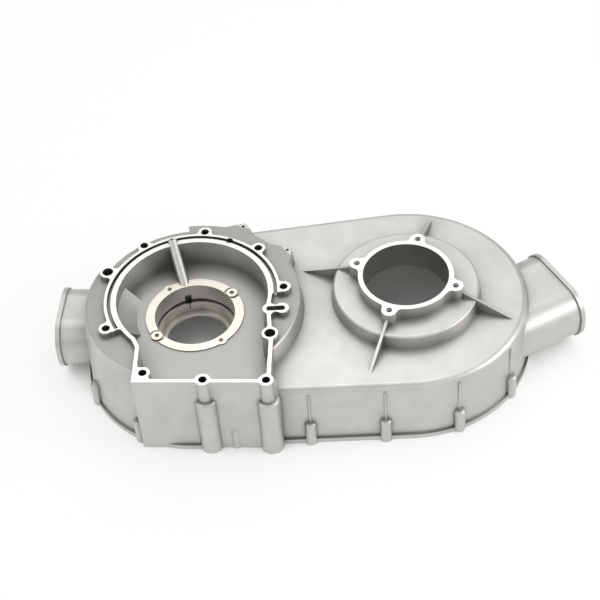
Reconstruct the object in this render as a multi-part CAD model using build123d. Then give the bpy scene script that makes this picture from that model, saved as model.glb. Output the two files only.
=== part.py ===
from build123d import *
import os
from math import asin, cos, radians, sin, sqrt

# Inner case of a continuously variable transmission: one aluminium casting that bolts to
# the engine and carries the drive belt's two pulleys. It lies open side down. The origin is
# on the crankshaft axis, in the machined seat of the bearing retainer. +Z points at the
# engine, and +X points at the driven shaft. All sizes are in millimetres.

# Layout
SHAFT_SPACING = 237.0
CRANK = (0.0, 0.0)
DRIVEN = (SHAFT_SPACING, 0.0)

# Heights
BASE_Z = -79.0
DECK_Z = 2.5
TIER_Z = 19.0
DRUM_Z = 24.0
FLANGE_Z = 30.5
RING_Z = 34.0

# Casting
WALL = 4.0
DRAFT = 1.8
OVERLAP = 2.0

# Case body around the belt
CRANK_END_R = 124.0
DRIVEN_END_R = 138.0
SHOULDER_R = 8.0
INNER_CORNER_R = 5.0

# Joint flange for the belt cover
COVER_LIP = 2.5
COVER_LIP_H = 6.0
SEAL_GROOVE_W = 2.4
SEAL_GROOVE_DEPTH = 2.0

# Drum that carries the engine flange
DRUM_BASE_R = 126.5
DRUM_FOOT_R = 122.7
DRUM_TOP_R = 119.5
DRUM_EDGE_R = 3.0
RELIEF_R = 109.0
RELIEF_FROM = 91.0
RELIEF_TO = 152.0

# Chamber behind the engine flange, with its pocket towards the front
CHAMBER_R = 84.2
CHAMBER_FLOOR_Z = -1.2
CHAMBER_FLOOR_T = 4.0
CHAMBER_WALL = 4.4
POCKET_CORNERS = [(80.8, -24.0), (-62.5, -56.4), (-57.8, -70.0), (-61.7, -115.6), (75.5, -131.6), (80.9, -79.2)]
POCKET_CORNER_R = 8.0
RAMP_INNER_R = 65.0
RAMP_TOP_Z = 15.5
RAMP_FROM = 155.0
RAMP_TO = 202.0

# Engine flange and its holes
FLANGE_R = 97.8
FLANGE_FROM = -4.0
FLANGE_TO = 207.0
FLANGE_BLEND_R = 4.0
BOLT_HOLE_R = 4.5
BOLT_BOSS_R = 8.0
BOLT_BOSS_DEPTH = 16.0
RING_BOLTS = [(-53.3, 86.0), (16.7, 99.5), (76.6, 65.9), (101.5, 1.3), (-94.5, -38.6)]
POCKET_BOLTS = [(-54.2, -107.6), (9.0, -124.3), (75.3, -132.5)]
DOWELS = [(82.8, -66.6), (-94.2, 48.1)]
DOWEL_HOLE_R = 6.0
DOWEL_BOSS_R = 9.0
DOWEL_DEPTH = 11.0
GROOVE_INNER_R = 90.4
GROOVE_OUTER_R = 94.4
GROOVE_DEPTH = 5.0
GROOVE_FROM = -8.0
GROOVE_TO = 206.0
SLOT_FROM = (84.0, -30.3)
SLOT_TO = (98.0, -31.0)
SLOT_HOLE_R = 3.0
SLOT_BOSS_R = 7.5

# Columns round the three front bolts
COLUMN_R = 12.6
COLUMN_TOP_Z = 1.0
COLUMN_BORE_R = 9.0
COLUMN_BORE_END_Z = -8.0

# Crankshaft bearing housing
BEARING_R = 45.0
BEARING_DEPTH = 24.0
BEARING_GROOVE_R = 46.4
BEARING_GROOVE_W = 2.2
BEARING_SHOULDER_R = 41.0
BEARING_LIP_R = 35.0
BEARING_LIP_Z = -36.3
BEARING_END_Z = -40.5
BEARING_WALL = 7.0
RETAINER_PAD_R = 55.3
RETAINER_HOLE_PITCH_R = 50.94
RETAINER_HOLE_R = 2.5
RETAINER_HOLE_DEPTH = 14.0
RETAINER_ANGLE = 33.4
RETAINER_BOSS_R = 6.5
RETAINER_BOSS_RISE = 0.8
RETAINER_GAP_R = 8.6

# Oil gallery from the flange groove down to the bearing
GALLERY_TOP = (-21.4, 90.2, FLANGE_Z)
GALLERY_END = (-9.4, 43.0, -9.5)
GALLERY_RIB_R = 6.0
GALLERY_HOLE_R = 3.2

# Driven shaft opening
OPENING_R = 47.5
OPENING_WALL = 5.5
OPENING_SKIRT_Z = 0.0
TIER_FOOT_R = 83.3
TIER_TOP_R = 80.9
TIER_EDGE_R = 3.0
EAR_PITCH_R = 57.2
EAR_R = 8.6
EAR_ANGLES = [-114.9, -24.7, 69.9, 155.4]
EAR_BLEND_R = 6.0
EAR_HOLE_R = 3.4
EAR_HOLE_DEPTH = 20.0
EAR_COLUMN_R = 7.5
RING_DRAFT = 4.0
GUSSET_T = 3.2
GUSSET_TOP_Z = 28.0
GUSSET_TIP_R = 123.0

# Cover screw bosses round the outside
SCREW_BOSS_R = 6.6
SCREW_BOSS_H = 32.0
SCREW_HOLE_R = 2.5
SCREW_HOLE_DEPTH = 18.0
SCREW_PITCH = 81.4
SCREW_FIRST_X = 36.3
SCREWS_ON_SIDE = 3
SCREW_DRIVEN_ANGLES = [-72.0, -40.5, 40.5, 72.0]
SCREW_CRANK_ANGLES = [-122.7, -158.0, 92.0, 128.0]

# Air ducts: heading, side offset and mouth distance are seen from each shaft
DUCT_MID_Z = -39.0
DUCT_H = 64.0
DUCT_CORNER_R = 28.0
DUCT_WALL = 3.5
DUCT_BEAD = 2.0
DUCT_BEAD_W = 5.0
INLET_HEADING = 173.0
INLET_OFFSET = -17.0
INLET_W = 90.0
INLET_REACH = 158.0
INLET_ROOT = 95.0
OUTLET_HEADING = 24.5
OUTLET_OFFSET = -55.0
OUTLET_W = 106.0
OUTLET_REACH = 168.0
OUTLET_ROOT = 60.0


def polar(centre, radius, angle):
    """Point at a radius and angle from a centre, in plan."""
    return (centre[0] + radius * cos(radians(angle)), centre[1] + radius * sin(radians(angle)))


def turned(centre, *corners):
    """Solid of revolution about a vertical axis, from (radius, height) corners."""
    section = make_face(Plane.XZ * Polyline(*corners, close=True))
    return Pos(centre[0], centre[1], 0) * revolve(section, Axis.Z)


def disc(centre, radius):
    """Flat round face in plan."""
    return Pos(centre[0], centre[1]) * Circle(radius)


def upright(outline, bottom, top, taper=0.0):
    """Plan outline drawn up from one height to another."""
    return extrude(Pos(0, 0, bottom) * outline, top - bottom, dir=(0, 0, 1), taper=taper)


def post(centre, radius, bottom, top):
    """Round upright column, or the cutter for a round hole."""
    return Pos(centre[0], centre[1], (bottom + top) / 2) * Cylinder(radius, top - bottom)


def sector(inner, outer, start, end):
    """Part of a flat ring about the crankshaft, between two angles."""
    middle = (start + end) / 2
    outer_arc = ThreePointArc(*[polar(CRANK, outer, a) for a in (start, middle, end)])
    inner_arc = ThreePointArc(*[polar(CRANK, inner, a) for a in (end, middle, start)])
    end_side = Line(outer_arc @ 1, inner_arc @ 0)
    start_side = Line(inner_arc @ 1, outer_arc @ 0)
    return make_face([outer_arc, end_side, inner_arc, start_side])


def belt_outline(grow):
    """Plan of the case: an arc round each shaft and the two lines that touch both."""
    crank_r = CRANK_END_R + grow
    driven_r = DRIVEN_END_R + grow
    lean = asin((driven_r - crank_r) / SHAFT_SPACING)
    back = (-sin(lean), cos(lean))
    front = (-sin(lean), -cos(lean))
    crank_back, crank_front = [(crank_r * x, crank_r * y) for x, y in (back, front)]
    driven_back, driven_front = [(SHAFT_SPACING + driven_r * x, driven_r * y) for x, y in (back, front)]
    return make_face([
        ThreePointArc(crank_back, (-crank_r, 0), crank_front),
        Line(crank_front, driven_front),
        ThreePointArc(driven_front, (SHAFT_SPACING + driven_r, 0), driven_back),
        Line(driven_back, crank_back),
    ])


def pocket_outline(grow):
    """Plan of the chamber's front pocket."""
    outline = make_face(Polyline(*POCKET_CORNERS, close=True))
    return offset(outline, grow, kind=Kind.INTERSECTION) if grow else outline


def rounded_top(solid, radius):
    """Solid with its top edges rounded."""
    return fillet(solid.edges().group_by(Axis.Z)[-1], radius)


def relief(inset):
    """Cutter that takes the drum's rear left side back, clear of the engine."""
    face = sector(RELIEF_R - inset, DRUM_BASE_R + OVERLAP, RELIEF_FROM - inset / 2, RELIEF_TO + inset / 2)
    return upright(face, DECK_Z - inset, FLANGE_Z)


def drum(inset):
    """Drum under the engine flange, or its hollow when it is drawn in by a wall."""
    form = turned(
        CRANK,
        (0, BASE_Z),
        (DRUM_BASE_R - inset, BASE_Z),
        (DRUM_FOOT_R - inset, DECK_Z),
        (DRUM_TOP_R - inset, DRUM_Z - inset),
        (0, DRUM_Z - inset),
    )
    return rounded_top(form, DRUM_EDGE_R) - relief(inset)


def tier(inset):
    """Round step that stiffens the deck at the driven shaft, or its hollow."""
    form = turned(
        DRIVEN,
        (0, DECK_Z - WALL - OVERLAP),
        (TIER_FOOT_R - inset, DECK_Z - WALL - OVERLAP),
        (TIER_FOOT_R - inset, DECK_Z),
        (TIER_TOP_R - inset, TIER_Z - inset),
        (0, TIER_Z - inset),
    )
    return rounded_top(form, TIER_EDGE_R)


def body(inset):
    """Belt case with its flat deck, or its hollow when it is drawn in by a wall."""
    radius = INNER_CORNER_R if inset else SHOULDER_R
    return rounded_top(upright(belt_outline(-inset), BASE_Z, DECK_Z - inset, DRAFT), radius)


def screw_points():
    """Centres of the cover screws, along the case wall at its base."""
    lean = asin((DRIVEN_END_R - CRANK_END_R) / SHAFT_SPACING)
    points = []
    for index in range(SCREWS_ON_SIDE):
        x = SCREW_FIRST_X + index * SCREW_PITCH
        y = (CRANK_END_R + x * sin(lean)) / cos(lean)
        points += [(x, -y), (x, y)]
    points += [polar(DRIVEN, DRIVEN_END_R, angle) for angle in SCREW_DRIVEN_ANGLES]
    points += [polar(CRANK, DRUM_BASE_R, angle) for angle in SCREW_CRANK_ANGLES]
    return points


def screw_boss(centre):
    """Slim column with a round top for one cover screw."""
    column = post(centre, SCREW_BOSS_R, BASE_Z, BASE_Z + SCREW_BOSS_H)
    return rounded_top(column, SCREW_BOSS_R * 0.6)


def front_column(centre):
    """Column round a front bolt: slim above its ledge, stout below it."""
    stout = rounded_top(post(centre, COLUMN_R, BASE_Z, COLUMN_TOP_Z), (COLUMN_R - BOLT_BOSS_R) * 0.8)
    return stout + post(centre, BOLT_BOSS_R, COLUMN_TOP_Z - OVERLAP, FLANGE_Z)


def flange_outline():
    """Outer edge of the engine flange, with its bosses blended in."""
    outline = disc(CRANK, CHAMBER_R + CHAMBER_WALL) + sector(CHAMBER_R, FLANGE_R, FLANGE_FROM, FLANGE_TO)
    outline += pocket_outline(CHAMBER_WALL)
    for bolt in RING_BOLTS + POCKET_BOLTS:
        outline += disc(bolt, BOLT_BOSS_R)
    for dowel in DOWELS:
        outline += disc(dowel, DOWEL_BOSS_R)
    for end in (SLOT_FROM, SLOT_TO):
        outline += disc(end, SLOT_BOSS_R)
    return offset(offset(outline, FLANGE_BLEND_R), -FLANGE_BLEND_R)


def chamber_outline():
    """Inner edge of the chamber and its pocket, round the bosses that stand in them."""
    outline = disc(CRANK, CHAMBER_R) + pocket_outline(0)
    for bolt in POCKET_BOLTS:
        outline -= disc(bolt, BOLT_BOSS_R)
    outline -= disc(DOWELS[0], DOWEL_BOSS_R)
    outline -= disc(SLOT_FROM, SLOT_BOSS_R)
    return offset(offset(outline, -FLANGE_BLEND_R), FLANGE_BLEND_R)


def ring_outline(grow):
    """Plan of the driven opening's ring with its four ears."""
    outline = disc(DRIVEN, OPENING_R + OPENING_WALL + grow)
    for angle in EAR_ANGLES:
        outline += disc(polar(DRIVEN, EAR_PITCH_R, angle), EAR_R + grow)
    return offset(offset(outline, EAR_BLEND_R), -EAR_BLEND_R)


def gusset(angle):
    """Thin rib from an ear, across the step and down to the deck."""
    ear_side = EAR_PITCH_R + EAR_R * 0.5
    section = make_face(Plane.XZ * Polyline(
        (ear_side, TIER_Z - WALL / 2),
        (TIER_TOP_R - WALL, TIER_Z - WALL / 2),
        (TIER_TOP_R, DECK_Z - WALL / 2),
        (GUSSET_TIP_R, DECK_Z - WALL / 2),
        (GUSSET_TIP_R, DECK_Z),
        (ear_side, GUSSET_TOP_Z),
        close=True,
    ))
    return Pos(SHAFT_SPACING, 0, 0) * Rot(0, 0, angle) * extrude(section, GUSSET_T / 2, both=True)


def duct(centre, heading, side, width, reach, root):
    """Oval air duct on the case wall: its outside and its passage."""
    out = (cos(radians(heading)), sin(radians(heading)))
    start = (
        centre[0] + root * out[0] - side * out[1],
        centre[1] + root * out[1] + side * out[0],
        DUCT_MID_Z,
    )
    plane = Plane(start, x_dir=(-out[1], out[0], 0), z_dir=(out[0], out[1], 0))
    length = reach - root

    def oval(grow):
        return RectangleRounded(width + 2 * grow, DUCT_H + 2 * grow, DUCT_CORNER_R + grow)

    outside = plane * extrude(oval(0), length)
    bead = plane * Pos(0, 0, length - DUCT_BEAD_W) * extrude(oval(DUCT_BEAD), DUCT_BEAD_W)
    passage = plane * extrude(oval(-DUCT_WALL), length + OVERLAP)
    return outside + bead, passage


def bearing_housing():
    """Sleeve that hangs under the chamber floor and holds the crankshaft bearing."""
    return turned(
        CRANK,
        (0, BEARING_END_Z),
        (BEARING_LIP_R + BEARING_WALL, BEARING_END_Z),
        (BEARING_R + BEARING_WALL, -BEARING_DEPTH),
        (BEARING_R + BEARING_WALL, CHAMBER_FLOOR_Z),
        (0, CHAMBER_FLOOR_Z),
    )


def bearing_bore():
    """Cutter for the bearing seat, its ring groove, shoulder and lip."""
    groove_top = -BEARING_DEPTH + BEARING_GROOVE_W
    return turned(
        CRANK,
        (0, BEARING_END_Z - OVERLAP),
        (BEARING_LIP_R, BEARING_END_Z - OVERLAP),
        (BEARING_LIP_R, BEARING_LIP_Z),
        (BEARING_SHOULDER_R, BEARING_LIP_Z),
        (BEARING_SHOULDER_R, -BEARING_DEPTH),
        (BEARING_GROOVE_R, -BEARING_DEPTH),
        (BEARING_GROOVE_R, groove_top),
        (BEARING_R, groove_top),
        (BEARING_R, OVERLAP),
        (0, OVERLAP),
    )


def retainer_pads():
    """Two C-shaped machined pads round the bearing, and the two bosses between them."""
    step = 90
    pads = disc(CRANK, RETAINER_PAD_R)
    for turn in (1, 3):
        pads += disc(polar(CRANK, RETAINER_HOLE_PITCH_R, RETAINER_ANGLE + turn * step), RETAINER_BOSS_R)
    for turn in (0, 2):
        pads -= disc(polar(CRANK, RETAINER_HOLE_PITCH_R, RETAINER_ANGLE + turn * step), RETAINER_GAP_R)
    raised = upright(pads, CHAMBER_FLOOR_Z - OVERLAP, 0)
    for turn in (0, 2):
        centre = polar(CRANK, RETAINER_HOLE_PITCH_R, RETAINER_ANGLE + turn * step)
        raised += post(centre, RETAINER_BOSS_R, CHAMBER_FLOOR_Z - OVERLAP, RETAINER_BOSS_RISE)
    return raised


def retainer_columns():
    """Metal under the floor for the retainer's four tapped holes."""
    columns = []
    for turn in range(4):
        centre = polar(CRANK, RETAINER_HOLE_PITCH_R, RETAINER_ANGLE + turn * 90)
        columns.append(post(centre, RETAINER_BOSS_R, -RETAINER_HOLE_DEPTH - WALL, CHAMBER_FLOOR_Z))
    return columns


def chamber_ramp():
    """Sloping floor at the chamber's left side, up to its wall."""
    slope = turned(
        CRANK,
        (RAMP_INNER_R, CHAMBER_FLOOR_Z - OVERLAP),
        (CHAMBER_R + OVERLAP, CHAMBER_FLOOR_Z - OVERLAP),
        (CHAMBER_R + OVERLAP, RAMP_TOP_Z),
        (CHAMBER_R, RAMP_TOP_Z),
        (RAMP_INNER_R, CHAMBER_FLOOR_Z),
    )
    wedge = upright(sector(RAMP_INNER_R, CHAMBER_R + 1, RAMP_FROM, RAMP_TO), CHAMBER_FLOOR_Z - OVERLAP, RAMP_TOP_Z)
    return slope & wedge


def slanted(start, end, radius):
    """Round rod between two points."""
    axis = Vector(*end) - Vector(*start)
    return Plane(start, z_dir=axis) * extrude(Circle(radius), axis.length)


# Outside of the casting
case = body(0) + drum(0) + tier(0)
case += upright(belt_outline(COVER_LIP), BASE_Z, BASE_Z + COVER_LIP_H)
case += upright(disc(CRANK, DRUM_BASE_R + COVER_LIP), BASE_Z, BASE_Z + COVER_LIP_H)
case += upright(pocket_outline(CHAMBER_WALL), BASE_Z, FLANGE_Z)
case += upright(ring_outline(0), DECK_Z, RING_Z)
case += upright(flange_outline(), DRUM_Z - WALL, FLANGE_Z)
for bolt in POCKET_BOLTS:
    case += front_column(bolt)
for angle in EAR_ANGLES:
    case += gusset(angle)
for centre in screw_points():
    case += screw_boss(centre)
inlet, inlet_passage = duct(CRANK, INLET_HEADING, INLET_OFFSET, INLET_W, INLET_REACH, INLET_ROOT)
outlet, outlet_passage = duct(DRIVEN, OUTLET_HEADING, OUTLET_OFFSET, OUTLET_W, OUTLET_REACH, OUTLET_ROOT)
case += inlet + outlet

# Hollow for the belt and pulleys
case -= body(WALL) + drum(WALL) + tier(WALL)
case -= inlet_passage + outlet_passage

# Walls inside the hollow
pan = disc(CRANK, CHAMBER_R + CHAMBER_WALL) + pocket_outline(CHAMBER_WALL)
case += upright(pan, CHAMBER_FLOOR_Z - CHAMBER_FLOOR_T, DRUM_Z - WALL / 2)
case += bearing_housing()
for column in retainer_columns():
    case += column
case += turned(
    DRIVEN,
    (0, OPENING_SKIRT_Z),
    (OPENING_R + OPENING_WALL, OPENING_SKIRT_Z),
    (OPENING_R + OPENING_WALL, TIER_Z - WALL / 2),
    (0, TIER_Z - WALL / 2),
)
for angle in EAR_ANGLES:
    ear = polar(DRIVEN, EAR_PITCH_R, angle)
    case += post(ear, EAR_COLUMN_R, RING_Z - EAR_HOLE_DEPTH - WALL, TIER_Z - WALL / 2)
for bolt in RING_BOLTS:
    case += post(bolt, BOLT_BOSS_R, FLANGE_Z - BOLT_BOSS_DEPTH, FLANGE_Z)
for dowel in DOWELS:
    case += post(dowel, DOWEL_BOSS_R, FLANGE_Z - BOLT_BOSS_DEPTH, FLANGE_Z)

# Chamber on the engine side
case -= upright(chamber_outline(), CHAMBER_FLOOR_Z, FLANGE_Z + OVERLAP)
case += chamber_ramp() + retainer_pads()
case += slanted(GALLERY_TOP, GALLERY_END, GALLERY_RIB_R)

# Bores, holes and grooves
case -= bearing_bore()
case -= post(DRIVEN, OPENING_R, OPENING_SKIRT_Z - OVERLAP, RING_Z + OVERLAP)
case -= upright(
    sector(GROOVE_INNER_R, GROOVE_OUTER_R, GROOVE_FROM, GROOVE_TO), FLANGE_Z - GROOVE_DEPTH, FLANGE_Z + OVERLAP
)
for bolt in RING_BOLTS:
    case -= post(bolt, BOLT_HOLE_R, FLANGE_Z - BOLT_BOSS_DEPTH - OVERLAP, FLANGE_Z + OVERLAP)
for bolt in POCKET_BOLTS:
    case -= post(bolt, BOLT_HOLE_R, COLUMN_BORE_END_Z - OVERLAP, FLANGE_Z + OVERLAP)
    case -= post(bolt, COLUMN_BORE_R, BASE_Z - OVERLAP, COLUMN_BORE_END_Z)
for dowel in DOWELS:
    case -= post(dowel, DOWEL_HOLE_R, FLANGE_Z - DOWEL_DEPTH, FLANGE_Z + OVERLAP)
for turn in range(4):
    centre = polar(CRANK, RETAINER_HOLE_PITCH_R, RETAINER_ANGLE + turn * 90)
    case -= post(centre, RETAINER_HOLE_R, -RETAINER_HOLE_DEPTH, RETAINER_BOSS_RISE + OVERLAP)
for angle in EAR_ANGLES:
    case -= post(polar(DRIVEN, EAR_PITCH_R, angle), EAR_HOLE_R, RING_Z - EAR_HOLE_DEPTH, RING_Z + OVERLAP)
for centre in screw_points():
    case -= post(centre, SCREW_HOLE_R, BASE_Z - OVERLAP, BASE_Z + SCREW_HOLE_DEPTH)

os.makedirs("parts", exist_ok=True)
export_step(case, "parts/case.step")
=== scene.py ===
import math

import bpy
from bpy.props import FloatProperty, FloatVectorProperty, PointerProperty
from mathutils import Matrix, Vector


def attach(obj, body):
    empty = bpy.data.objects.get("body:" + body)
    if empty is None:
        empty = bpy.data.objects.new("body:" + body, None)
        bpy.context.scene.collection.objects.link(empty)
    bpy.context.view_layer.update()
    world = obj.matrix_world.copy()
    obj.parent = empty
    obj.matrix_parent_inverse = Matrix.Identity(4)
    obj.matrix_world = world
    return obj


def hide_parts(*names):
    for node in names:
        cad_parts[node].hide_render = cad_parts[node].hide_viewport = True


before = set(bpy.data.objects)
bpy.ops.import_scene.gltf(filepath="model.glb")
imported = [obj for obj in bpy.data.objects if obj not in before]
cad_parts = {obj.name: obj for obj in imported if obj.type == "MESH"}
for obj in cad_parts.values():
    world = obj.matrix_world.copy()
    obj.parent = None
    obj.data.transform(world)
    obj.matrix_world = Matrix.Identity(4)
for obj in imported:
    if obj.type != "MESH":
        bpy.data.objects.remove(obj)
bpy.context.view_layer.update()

bl_info = {
    "name": "Belt drive case",
    "version": (1, 0, 0),
    "blender": (4, 5, 0),
    "location": "View3D > Sidebar > Belt Drive Case",
    "description": "Finishes, small forms and threads of a die-cast transmission case, with a pale studio",
    "category": "Object",
}

MM = 0.001

# Places of the casting that the finishes and the drillings follow, in millimetres from the crankshaft axis
DRIVEN_X = 237.0
BASE_Z = -79.0
CHAMBER_Z = -1.2
PAD_Z = 0.0
PAD_RISE = 0.8
DECK_Z = 2.5
DRUM_Z = 24.0
RIM_Z = 30.5
RING_Z = 34.0

# Middle and half height of the bearing seat with its shoulder and lip, and of the dark groove in it, whose
# darkness is painted shade
SEAT = (-20.1, 20.0)
SEAT_GROOVE = (-22.9, 1.1)
SEAT_R = 46.9

# Wall on which the thin ribs stand, half way up, one rib above each cover screw boss
CRANK_WALL_R = 122.3
DRIVEN_WALL_R = 136.3
BOSS_TOP_Z = -47.0
RIB_TOP_Z = -5.0
SIDE_RIBS_X = (36.3, 117.7, 199.1)
DRIVEN_RIB_ANGLES = (-72.0, -40.5, 40.5, 72.0)
CRANK_RIB_ANGLES = (-122.7, -158.0, 92.0, 128.0)

# Ears beside the drum, each joined to it by a web whose root lies on a circle in the drum's wall
EARS = ((60.8, 110.3), (109.2, 65.2))
EAR_FOOT_R = 7.5
EAR_TOP_R = 5.0
EAR_HOLE_R = 1.7
EAR_HOLE_DEPTH = 12.0
WEB_ROOT_R = 117.5
WEB_HALF_ANGLE = 9.0
WEB_FOOT_R = 1.6
WEB_TOP_R = 1.0

# Column on the right of the pocket: x, y, lower and upper z, foot and top radius
SIDE_COLUMN = (77.5, -125.5, -20.0, 17.0, 11.0, 8.5)

# Small holes in the flange: x, y, depth, radius
FLANGE_HOLES = ((-21.4, 90.2, 14.0, 3.2), (44.4, 81.8, 8.0, 4.0))

# Slot at the right end of the flange, with a deeper hole at its outer end
SLOT = ((84.0, -30.3), (98.0, -31.0))
SLOT_R = 3.4
SLOT_DEPTH = 5.5
SLOT_HOLE = (95.0, -30.9)
SLOT_HOLE_R = 3.3
SLOT_HOLE_DEPTH = 14.0

# Oil pocket in the bearing seat: x, y, lower and upper z, foot and top radius
OIL_POCKET = (-8.6, 43.7, -33.0, -14.0, 3.6, 3.6)

# An added form starts this deep in what carries it, and stays this far below a flat face beside it,
# and a cutter reaches this far out of the face that it cuts
DECK_SINK = 1.5
BOSS_SINK = 2.0
STEP_DOWN = 0.1
CUTTER_RISE = 1.0

# Threaded holes: name, centre on X, pitch circle, angles, height of the mouth, depth, radius, pitch
THREADED_HOLES = (
    ("retainer", 0.0, 50.94, (33.4, 123.4, 213.4, 303.4), PAD_Z, 14.0, 2.5, 1.0),
    ("ring", DRIVEN_X, 57.2, (-114.9, -24.7, 69.9, 155.4), RING_Z, 20.0, 3.4, 1.25),
)

# Sizes of the patterns and of the painted shade in the finishes, and of the shadow on the floor
CLOUD_SIZE = 33.333
GRAIN_SIZE = 1.1111
RING_SPACING = 2.992
RECESS_REACH = 28.0
SHADOW_REACH = 600.0
EDGE_R = 0.6
RELIEF_HEIGHT = 0.12
TEAR_SIZE = 0.6667
TEAR_HEIGHT = 0.05

# Lamps: name, place, aim and size in metres, and power in watts
LAMPS = (
    ("lamp_overhead", (0.1, 0.6, 1.5), (0.1, 0.0, 0.0), 1.4, 10.5),
    ("lamp_left", (-1.2, -0.7, 0.9), (0.0, 0.0, 0.0), 0.9, 4.2),
    ("lamp_front", (0.5, -1.6, 0.8), (0.1, 0.0, 0.0), 1.0, 2.6),
    ("lamp_right", (1.5, -0.35, 0.75), (0.2, 0.0, 0.0), 0.7, 9.0),
)
SKY_STRENGTH = 0.62

# The photograph's camera, from the fit of its circles: place in millimetres, and its three directions
CAMERA_PLACE = (110.8532, -1154.8654, 1207.2280)
CAMERA_RIGHT = (0.99612087, -0.06643291, -0.05770504)
CAMERA_ABOVE = (0.08787908, 0.71731805, 0.69118165)
CAMERA_AHEAD = (0.00452435, 0.69357154, -0.72037355)
CAMERA_LENS = 89.652
CAMERA_SENSOR = 36.0


def polar(centre_x, radius, angle):
    """Point in plan at a radius and an angle in degrees from a centre on the X axis."""
    return (centre_x + radius * math.cos(math.radians(angle)), radius * math.sin(math.radians(angle)))


def linear(hex_colour):
    """Linear colour of an sRGB hex value."""
    channels = [int(hex_colour[i:i + 2], 16) / 255 for i in (1, 3, 5)]
    return tuple(c / 12.92 if c <= 0.04045 else ((c + 0.055) / 1.055) ** 2.4 for c in channels)


def add_node(tree, kind, inputs=None, **settings):
    """Adds one node with its settings, its input values and its links."""
    node = tree.nodes.new(kind)
    for name, value in settings.items():
        setattr(node, name, value)
    for name, value in (inputs or {}).items():
        if isinstance(value, bpy.types.NodeSocket):
            tree.links.new(value, node.inputs[name])
        else:
            node.inputs[name].default_value = value
    return node


def new_material(name):
    """Empty node material and its tree."""
    material = bpy.data.materials.new(name)
    material.use_nodes = True
    material.node_tree.nodes.clear()
    return material, material.node_tree


def deselect():
    """Nothing selected, so an operator acts only on its own piece."""
    if bpy.context.object and bpy.context.object.mode != "OBJECT":
        bpy.ops.object.mode_set(mode="OBJECT")
    bpy.ops.object.select_all(action="DESELECT")


def choose(*pieces):
    """These pieces selected, the first of them active."""
    deselect()
    for piece in pieces:
        piece.select_set(True)
    bpy.context.view_layer.objects.active = pieces[0]


def join(pieces):
    """One object made of all of these, at the origin."""
    choose(*pieces)
    if len(pieces) > 1:
        bpy.ops.object.join()
    bpy.ops.object.transform_apply(location=True, rotation=True, scale=True)
    return bpy.context.object


def hull(*rods):
    """Closed convex form round upright rods.

    Each rod is its x and y, lower and upper z, and lower and upper radius, in millimetres.
    """
    made = []
    for x, y, low, high, foot_r, top_r in rods:
        bpy.ops.mesh.primitive_cone_add(
            vertices=32, radius1=foot_r * MM, radius2=top_r * MM, depth=(high - low) * MM,
            location=(x * MM, y * MM, (low + high) / 2 * MM))
        made.append(bpy.context.object)
    form = join(made)
    bpy.ops.object.mode_set(mode="EDIT")
    bpy.ops.mesh.select_all(action="SELECT")
    bpy.ops.mesh.convex_hull()
    bpy.ops.mesh.normals_make_consistent(inside=False)
    bpy.ops.object.mode_set(mode="OBJECT")
    return form


def carve(piece, tool, operation):
    """Adds the tool's form to the piece, or takes it away."""
    choose(piece)
    before = len(piece.data.polygons)
    bpy.ops.object.modifier_add(type="BOOLEAN")
    modifier = piece.modifiers[-1]
    modifier.operation = operation
    modifier.solver = "EXACT"
    modifier.object = tool
    bpy.ops.object.modifier_apply(modifier=modifier.name)
    bpy.data.objects.remove(tool)
    if len(piece.data.polygons) < 0.9 * before:
        raise RuntimeError(f"{operation} left {len(piece.data.polygons)} of {before} faces")


class CaseSettings(bpy.types.PropertyGroup):
    """Sizes and colours of the finishes, of the painted shade and of the studio."""
    rib_foot_radius: FloatProperty(
        name="Rib foot radius", description="Radius of a thin wall rib at its foot",
        default=1.9 * MM, min=0.5 * MM, max=4.0 * MM, unit="LENGTH")
    rib_top_radius: FloatProperty(
        name="Rib top radius", description="Radius of a thin wall rib at its top",
        default=1.2 * MM, min=0.5 * MM, max=4.0 * MM, unit="LENGTH")
    cast_colour: FloatVectorProperty(
        name="Cast skin colour", description="Colour of the bare cast skin",
        default=linear("#CECDC9"), min=0.0, max=1.0, subtype="COLOR")
    shade_colour: FloatVectorProperty(
        name="Cast shade colour", description="Colour of the slightly duller patches in the skin",
        default=linear("#C4C3BF"), min=0.0, max=1.0, subtype="COLOR")
    # Painted shade: the drum's top and the chamber floor are given this darker colour for the shade they lie
    # in
    drum_floor_shade_colour: FloatVectorProperty(
        name="Drum and floor shade colour", description="Colour of the drum's top and the chamber floor",
        default=linear("#A3A29F"), min=0.0, max=1.0, subtype="COLOR")
    # Painted shade: the skin is darkened towards this colour in corners, grooves and holes, inside the
    # driven ring's opening and in the seat's groove
    recess_shade_colour: FloatVectorProperty(
        name="Recess shade colour", description="Colour of the skin deep in corners, grooves and holes",
        default=linear("#55534F"), min=0.0, max=1.0, subtype="COLOR")
    milled_colour: FloatVectorProperty(
        name="Milled colour", description="Colour of the milled joint faces",
        default=linear("#E2E1DE"), min=0.0, max=1.0, subtype="COLOR")
    pad_colour: FloatVectorProperty(
        name="Pad colour", description="Colour of the skimmed pads round the bearing seat",
        default=linear("#D8D4CA"), min=0.0, max=1.0, subtype="COLOR")
    bored_colour: FloatVectorProperty(
        name="Bored colour", description="Colour of the bored bearing seat",
        default=linear("#DEDBD5"), min=0.0, max=1.0, subtype="COLOR")
    floor_colour: FloatVectorProperty(
        name="Floor colour", description="Colour of the studio floor",
        default=linear("#F4F4F4"), min=0.0, max=1.0, subtype="COLOR")


class CASE_OT_casting_finish(bpy.types.Operator):
    """Gives the casting its die-cast skin, its milled and bored faces and its painted shade"""
    bl_idname = "case.casting_finish"
    bl_label = "Casting finish"

    def execute(self, context):
        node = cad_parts["case"]
        node.data.materials.clear()
        node.data.materials.append(cast_aluminium(context.scene.case_settings))
        for polygon in node.data.polygons:
            polygon.material_index = 0
        return {"FINISHED"}


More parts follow.
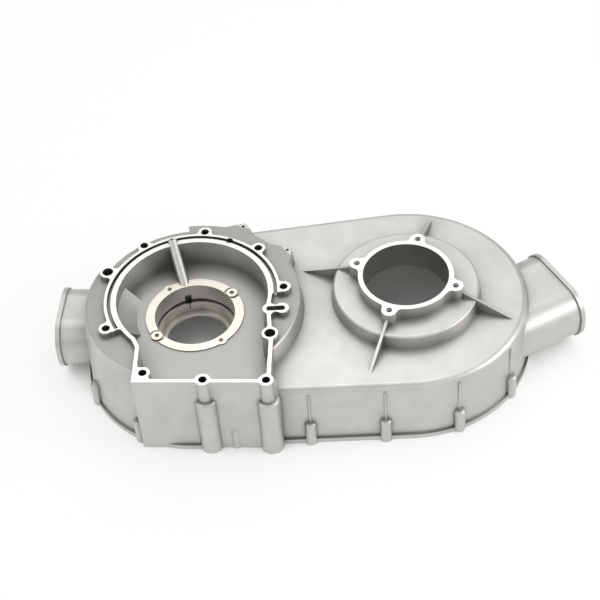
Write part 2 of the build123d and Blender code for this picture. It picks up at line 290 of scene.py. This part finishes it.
def cast_aluminium(settings):
    """Die-cast aluminium, satin from the mould, with faces milled and bored after casting.

    The skin is a pale grey with a fine grain and faint duller patches. Painted shade darkens it in
    corners, grooves and holes, and on the drum's top and the chamber floor. Milled faces are brighter
    and smoother with faint tool rings, and the bearing seat is a slightly warmer grey.
    """
    material, tree = new_material("cast_aluminium_bare")
    place = add_node(tree, "ShaderNodeTexCoord").outputs["Object"]
    in_mm = add_node(tree, "ShaderNodeVectorMath", {0: place, "Scale": 1 / MM}, operation="SCALE").outputs[0]

    cloud = add_node(tree, "ShaderNodeTexNoise", {
        "Vector": in_mm, "Scale": 1 / CLOUD_SIZE, "Detail": 4.0, "Roughness": 0.55})
    patches = add_node(tree, "ShaderNodeMapRange", {
        "Value": cloud.outputs["Fac"], "From Min": 0.3, "From Max": 0.7})
    skin = add_node(tree, "ShaderNodeMix", {
        "Factor": patches.outputs["Result"], 6: (*settings.cast_colour, 1), 7: (*settings.shade_colour, 1)},
        data_type="RGBA")
    colour, cut = cut_faces_and_painted_shade(tree, in_mm, skin.outputs[2], settings)

    # Painted shade: ambient occlusion darkens the colour towards the recess shade colour where the casting
    # closes round itself
    open_air = add_node(tree, "ShaderNodeAmbientOcclusion", {"Distance": RECESS_REACH * MM},
                        samples=6, only_local=True)
    unshaded = add_node(tree, "ShaderNodeMapRange", {
        "Value": open_air.outputs["AO"], "From Min": 0.1, "From Max": 0.95, "To Min": 0.05, "To Max": 1.0})
    colour = add_node(tree, "ShaderNodeMix", {
        "Factor": unshaded.outputs["Result"], 6: (*settings.recess_shade_colour, 1), 7: colour},
        data_type="RGBA").outputs[2]

    # The skin's real grain is about 0.1 mm, drawn ten times coarser so that it shows
    grain = add_node(tree, "ShaderNodeTexNoise", {
        "Vector": in_mm, "Scale": 1 / GRAIN_SIZE, "Detail": 4.0, "Roughness": 0.7})
    # Real tool rings are about 0.3 mm apart, drawn ten times coarser so that they show
    rings = add_node(tree, "ShaderNodeTexWave", {
        "Vector": in_mm, "Scale": math.pi / 10 / RING_SPACING, "Distortion": 0.6},
        wave_type="RINGS", rings_direction="SPHERICAL")
    faint = add_node(tree, "ShaderNodeMapRange", {"Value": rings.outputs["Fac"], "To Max": 0.3})
    relief = add_node(tree, "ShaderNodeMix", {
        "Factor": cut, 2: grain.outputs["Fac"], 3: faint.outputs["Result"]}, data_type="FLOAT")
    skin_rough = add_node(tree, "ShaderNodeMapRange", {
        "Value": grain.outputs["Fac"], "From Min": 0.3, "From Max": 0.7, "To Min": 0.42, "To Max": 0.54})
    rough = add_node(tree, "ShaderNodeMix", {
        "Factor": cut, 2: skin_rough.outputs["Result"], 3: 0.36}, data_type="FLOAT")
    edge = add_node(tree, "ShaderNodeBevel", {"Radius": EDGE_R * MM}, samples=4)
    bump = add_node(tree, "ShaderNodeBump", {
        "Strength": 0.3, "Distance": RELIEF_HEIGHT * MM, "Height": relief.outputs[0],
        "Normal": edge.outputs["Normal"]})
    shader = add_node(tree, "ShaderNodeBsdfPrincipled", {
        "Base Color": colour, "Metallic": 1.0, "Roughness": rough.outputs[0], "Normal": bump.outputs[0]})
    add_node(tree, "ShaderNodeOutputMaterial", {"Surface": shader.outputs[0]})
    return material


def cut_faces_and_painted_shade(tree, in_mm, skin, settings):
    """Colour of the skin with the casting's cut faces and its painted shade laid over it, and a mask of what
    a tool cut.
    """
    flat = add_node(tree, "ShaderNodeVectorMath", {0: in_mm, 1: (1, 1, 0)}, operation="MULTIPLY").outputs[0]
    height = add_node(tree, "ShaderNodeSeparateXYZ", {0: in_mm}).outputs["Z"]
    normal = add_node(tree, "ShaderNodeNewGeometry").outputs["True Normal"]
    slope = add_node(tree, "ShaderNodeSeparateXYZ", {0: normal}).outputs["Z"]
    level_face = add_node(tree, "ShaderNodeMath", {0: slope}, operation="ABSOLUTE").outputs[0]
    level, any_slope = 0.9, -1.0
    colour, cut = skin, None
    # Middle height and half the depth of the face, its centre on X, radius within, least slope of
    # the normal, colour, how much of it, and whether a tool cut it
    for middle, depth, centre_x, within, least_slope, tone, amount, is_cut in (
        # Painted shade on the drum's top
        (DRUM_Z, 0.15, 0.0, 125.0, level, settings.drum_floor_shade_colour, 1.0, False),
        # Painted shade on the chamber floor
        (CHAMBER_Z, 0.4, 0.0, 160.0, level, settings.drum_floor_shade_colour, 0.8, False),
        # Painted shade inside the driven ring's opening
        (RING_Z / 2, 17.1, DRIVEN_X, 48.0, any_slope, settings.recess_shade_colour, 0.6, False),
        (PAD_RISE / 2, 0.6, 0.0, 58.0, level, settings.pad_colour, 1.0, True),
        (RIM_Z, 0.15, 0.0, 200.0, level, settings.milled_colour, 1.0, True),
        (RING_Z, 0.15, DRIVEN_X, 70.0, level, settings.milled_colour, 1.0, True),
        (BASE_Z, 0.15, 0.0, 500.0, level, settings.milled_colour, 1.0, True),
        (*SEAT, 0.0, SEAT_R, any_slope, settings.bored_colour, 1.0, True),
        # Painted shade in the groove of the bearing seat
        (*SEAT_GROOVE, 0.0, SEAT_R, any_slope, settings.recess_shade_colour, 0.8, True),
    ):
        at_height = add_node(tree, "ShaderNodeMath", {0: height, 1: middle, 2: depth}, operation="COMPARE")
        away = add_node(tree, "ShaderNodeVectorMath", {0: flat, 1: (centre_x, 0, 0)}, operation="DISTANCE")
        near = add_node(tree, "ShaderNodeMath", {0: away.outputs["Value"], 1: within}, operation="LESS_THAN")
        faces = add_node(tree, "ShaderNodeMath", {0: level_face, 1: least_slope}, operation="GREATER_THAN")
        there = add_node(
            tree, "ShaderNodeMath", {0: at_height.outputs[0], 1: near.outputs[0]}, operation="MULTIPLY")
        mask = add_node(
            tree, "ShaderNodeMath", {0: there.outputs[0], 1: faces.outputs[0]}, operation="MULTIPLY")
        share = add_node(tree, "ShaderNodeMath", {0: mask.outputs[0], 1: amount}, operation="MULTIPLY")
        colour = add_node(tree, "ShaderNodeMix", {
            "Factor": share.outputs[0], 6: colour, 7: (*tone, 1)}, data_type="RGBA").outputs[2]
        if is_cut and cut is None:
            cut = mask.outputs[0]
        elif is_cut:
            both = add_node(tree, "ShaderNodeMath", {0: cut, 1: mask.outputs[0]}, operation="MAXIMUM")
            cut = both.outputs[0]
    return colour, cut


def cut_thread(settings):
    """Aluminium cut by a tap: bright flanks with torn, duller spots along the ridge."""
    material, tree = new_material("aluminium_tapped")
    place = add_node(tree, "ShaderNodeTexCoord").outputs["Object"]
    torn = add_node(tree, "ShaderNodeTexNoise", {
        "Vector": place, "Scale": 1 / (TEAR_SIZE * MM), "Detail": 3.0})
    colour = add_node(tree, "ShaderNodeMix", {
        "Factor": torn.outputs["Fac"], 6: (*settings.milled_colour, 1), 7: (*settings.bored_colour, 1)},
        data_type="RGBA")
    rough = add_node(tree, "ShaderNodeMapRange", {
        "Value": torn.outputs["Fac"], "To Min": 0.3, "To Max": 0.5})
    bump = add_node(tree, "ShaderNodeBump", {
        "Strength": 0.3, "Distance": TEAR_HEIGHT * MM, "Height": torn.outputs["Fac"]})
    shader = add_node(tree, "ShaderNodeBsdfPrincipled", {
        "Base Color": colour.outputs[2], "Metallic": 1.0, "Roughness": rough.outputs["Result"],
        "Normal": bump.outputs[0]})
    add_node(tree, "ShaderNodeOutputMaterial", {"Surface": shader.outputs[0]})
    return material


class CASE_OT_drillings(bpy.types.Operator):
    """Makes the casting with its ears, ribs, side column, slot and small holes in place of the plain one"""
    bl_idname = "case.drillings"
    bl_label = "Ears, ribs, slot and small holes"

    def execute(self, context):
        casting = bpy.data.objects.new("casting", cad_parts["case"].data.copy())
        context.scene.collection.objects.link(casting)
        choose(casting)
        bpy.ops.mesh.customdata_custom_splitnormals_clear()
        bpy.ops.object.mode_set(mode="EDIT")
        bpy.ops.mesh.select_all(action="SELECT")
        bpy.ops.mesh.remove_doubles(threshold=0.001 * MM)
        bpy.ops.object.mode_set(mode="OBJECT")

        settings = context.scene.case_settings
        carve(casting, join([hull(SIDE_COLUMN), *ears(), *wall_ribs(settings)]), "UNION")
        carve(casting, join([*small_holes(), slot(), hull(OIL_POCKET)]), "DIFFERENCE")
        slot_end = hull((*SLOT_HOLE, RIM_Z - SLOT_HOLE_DEPTH, RIM_Z + CUTTER_RISE, SLOT_HOLE_R, SLOT_HOLE_R))
        carve(casting, slot_end, "DIFFERENCE")

        choose(casting)
        bpy.ops.object.shade_smooth_by_angle(angle=math.radians(35))
        bpy.ops.object.modifier_add(type="WEIGHTED_NORMAL")
        casting.modifiers[-1].keep_sharp = True
        bpy.ops.object.modifier_apply(modifier=casting.modifiers[-1].name)
        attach(casting, "root")
        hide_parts("case")
        return {"FINISHED"}


def ears():
    """The two ears beside the drum, each with its web."""
    low, high = DECK_Z - DECK_SINK, DRUM_Z - STEP_DOWN
    made = []
    for x, y in EARS:
        angle = math.degrees(math.atan2(y, x))
        roots = [polar(0.0, WEB_ROOT_R, angle + side * WEB_HALF_ANGLE) for side in (-1, 1)]
        made.append(hull(
            (x, y, low, high, EAR_FOOT_R, EAR_TOP_R),
            *[(*root, low, high, WEB_FOOT_R, WEB_TOP_R) for root in roots]))
    return made


def wall_ribs(settings):
    """The thin ribs in the outside wall, one above each cover screw boss."""
    lean = math.asin((DRIVEN_WALL_R - CRANK_WALL_R) / DRIVEN_X)
    places = []
    for x in SIDE_RIBS_X:
        y = (CRANK_WALL_R + x * math.sin(lean)) / math.cos(lean)
        places += [(x, y), (x, -y)]
    places += [polar(DRIVEN_X, DRIVEN_WALL_R, angle) for angle in DRIVEN_RIB_ANGLES]
    places += [polar(0.0, CRANK_WALL_R, angle) for angle in CRANK_RIB_ANGLES]
    foot_r, top_r = settings.rib_foot_radius / MM, settings.rib_top_radius / MM
    return [hull((*place, BOSS_TOP_Z - BOSS_SINK, RIB_TOP_Z, foot_r, top_r)) for place in places]


def small_holes():
    """Cutters of the holes in the ears and of the two small holes in the flange."""
    in_ears = [
        hull((*ear, DRUM_Z - EAR_HOLE_DEPTH, DRUM_Z + CUTTER_RISE, EAR_HOLE_R, EAR_HOLE_R)) for ear in EARS]
    in_flange = [
        hull((x, y, RIM_Z - depth, RIM_Z + CUTTER_RISE, radius, radius))
        for x, y, depth, radius in FLANGE_HOLES]
    return in_ears + in_flange


def slot():
    """Cutter of the slot at the right end of the flange."""
    return hull(*[(*end, RIM_Z - SLOT_DEPTH, RIM_Z + CUTTER_RISE, SLOT_R, SLOT_R) for end in SLOT])


class CASE_OT_threads(bpy.types.Operator):
    """Cuts the threads into the retainer screw holes and into the holes of the driven ring"""
    bl_idname = "case.threads"
    bl_label = "Threads"

    def execute(self, context):
        material = cut_thread(context.scene.case_settings)
        for group, centre_x, pitch_circle_r, angles, mouth_z, depth, radius, pitch in THREADED_HOLES:
            pattern = thread(radius, depth, pitch)
            pattern.data.materials.append(material)
            for number, angle in enumerate(angles, 1):
                ridge = pattern.copy()
                ridge.data = pattern.data.copy()
                ridge.name = f"thread_{group}_{number}"
                context.scene.collection.objects.link(ridge)
                x, y = polar(centre_x, pitch_circle_r, angle)
                ridge.location = (x * MM, y * MM, mouth_z * MM)
                choose(ridge)
                bpy.ops.object.transform_apply(location=True, rotation=True, scale=True)
                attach(ridge, "root")
            bpy.data.objects.remove(pattern)
        return {"FINISHED"}


def thread(radius, depth, pitch):
    """Helical ridge of one threaded hole, upright on the origin with the hole's mouth at height 0."""
    deselect()
    bpy.ops.mesh.primitive_circle_add(
        vertices=4, radius=pitch / 2 * MM, fill_type="NOTHING", rotation=(math.pi / 2, 0, 0))
    bpy.ops.object.transform_apply(location=True, rotation=True, scale=True)
    ridge = bpy.context.object
    bpy.ops.object.mode_set(mode="EDIT")
    bpy.ops.mesh.select_all(action="SELECT")
    bpy.ops.transform.translate(value=(radius * MM, 0, (pitch - depth) * MM))
    bpy.ops.object.mode_set(mode="OBJECT")
    bpy.ops.object.modifier_add(type="SCREW")
    screw = ridge.modifiers[-1]
    screw.steps = 24
    screw.render_steps = 24
    screw.screw_offset = pitch * MM
    screw.iterations = int(depth / pitch) - 2
    bpy.ops.object.modifier_apply(modifier=screw.name)
    return ridge


class CASE_OT_studio(bpy.types.Operator):
    """Sets the pale floor, the soft lamps, the white surroundings and the camera"""
    bl_idname = "case.studio"
    bl_label = "Studio"

    def execute(self, context):
        deselect()
        bpy.ops.mesh.primitive_plane_add(size=6.0, location=(0.12, 0, BASE_Z * MM))
        floor = context.object
        floor.name = "studio_floor"
        bpy.ops.object.transform_apply(location=True, rotation=True, scale=True)
        floor.data.materials.append(studio_floor(context.scene.case_settings))
        for name, place, aim, size, watts in LAMPS:
            bpy.ops.object.light_add(type="AREA", location=place)
            lamp = context.object
            lamp.name = name
            lamp.data.size = size
            lamp.data.energy = watts
            lamp.rotation_euler = (Vector(aim) - Vector(place)).to_track_quat("-Z", "Y").to_euler()
        world = bpy.data.worlds.new("studio_white")
        world.use_nodes = True
        world.node_tree.nodes.clear()
        sky = add_node(world.node_tree, "ShaderNodeBackground", {
            "Color": (1, 1, 1, 1), "Strength": SKY_STRENGTH})
        add_node(world.node_tree, "ShaderNodeOutputWorld", {"Surface": sky.outputs[0]})
        context.scene.world = world
        context.scene.view_settings.view_transform = "Standard"
        bpy.ops.object.camera_add()
        camera = context.object
        camera.name = "camera_photo"
        camera.data.sensor_width = CAMERA_SENSOR
        camera.data.lens = CAMERA_LENS
        camera.data.clip_end = 20.0
        turn = Matrix((CAMERA_RIGHT, CAMERA_ABOVE, -Vector(CAMERA_AHEAD))).transposed().to_4x4()
        camera.matrix_world = Matrix.Translation(Vector(CAMERA_PLACE) * MM) @ turn
        context.scene.camera = camera
        return {"FINISHED"}


def studio_floor(settings):
    """White paper, lifted to plain white in the open, with the object's soft shadow and contact line."""
    material, tree = new_material("paper_matt_white")
    open_air = add_node(tree, "ShaderNodeAmbientOcclusion", {"Distance": SHADOW_REACH * MM}, samples=8)
    lift = add_node(tree, "ShaderNodeMapRange", {
        "Value": open_air.outputs["AO"], "From Min": 0.3, "From Max": 0.55, "To Min": 0.0, "To Max": 0.7})
    lit = add_node(tree, "ShaderNodeBsdfDiffuse", {"Color": (*settings.floor_colour, 1)})
    white = add_node(tree, "ShaderNodeEmission", {"Color": (1, 1, 1, 1), "Strength": 1.0})
    shader = add_node(
        tree, "ShaderNodeMixShader", {0: lift.outputs["Result"], 1: lit.outputs[0], 2: white.outputs[0]})
    add_node(tree, "ShaderNodeOutputMaterial", {"Surface": shader.outputs[0]})
    return material


class CASE_PT_panel(bpy.types.Panel):
    """Lists the settings and the steps"""
    bl_label = "Belt Drive Case"
    bl_idname = "CASE_PT_panel"
    bl_space_type = "VIEW_3D"
    bl_region_type = "UI"
    bl_category = "Belt Drive Case"

    def draw(self, context):
        for name in CaseSettings.__annotations__:
            self.layout.prop(context.scene.case_settings, name)
        for step in OPERATORS:
            self.layout.operator(step.bl_idname)


OPERATORS = (CASE_OT_casting_finish, CASE_OT_drillings, CASE_OT_threads, CASE_OT_studio)
CLASSES = (CaseSettings, *OPERATORS, CASE_PT_panel)


def register():
    for cls in CLASSES:
        bpy.utils.register_class(cls)
    bpy.types.Scene.case_settings = PointerProperty(type=CaseSettings)


def unregister():
    del bpy.types.Scene.case_settings
    for cls in reversed(CLASSES):
        bpy.utils.unregister_class(cls)


def main():
    register()
    bpy.ops.case.casting_finish()
    bpy.ops.case.drillings()
    bpy.ops.case.threads()
    bpy.ops.case.studio()


if __name__ == "__main__":
    main()
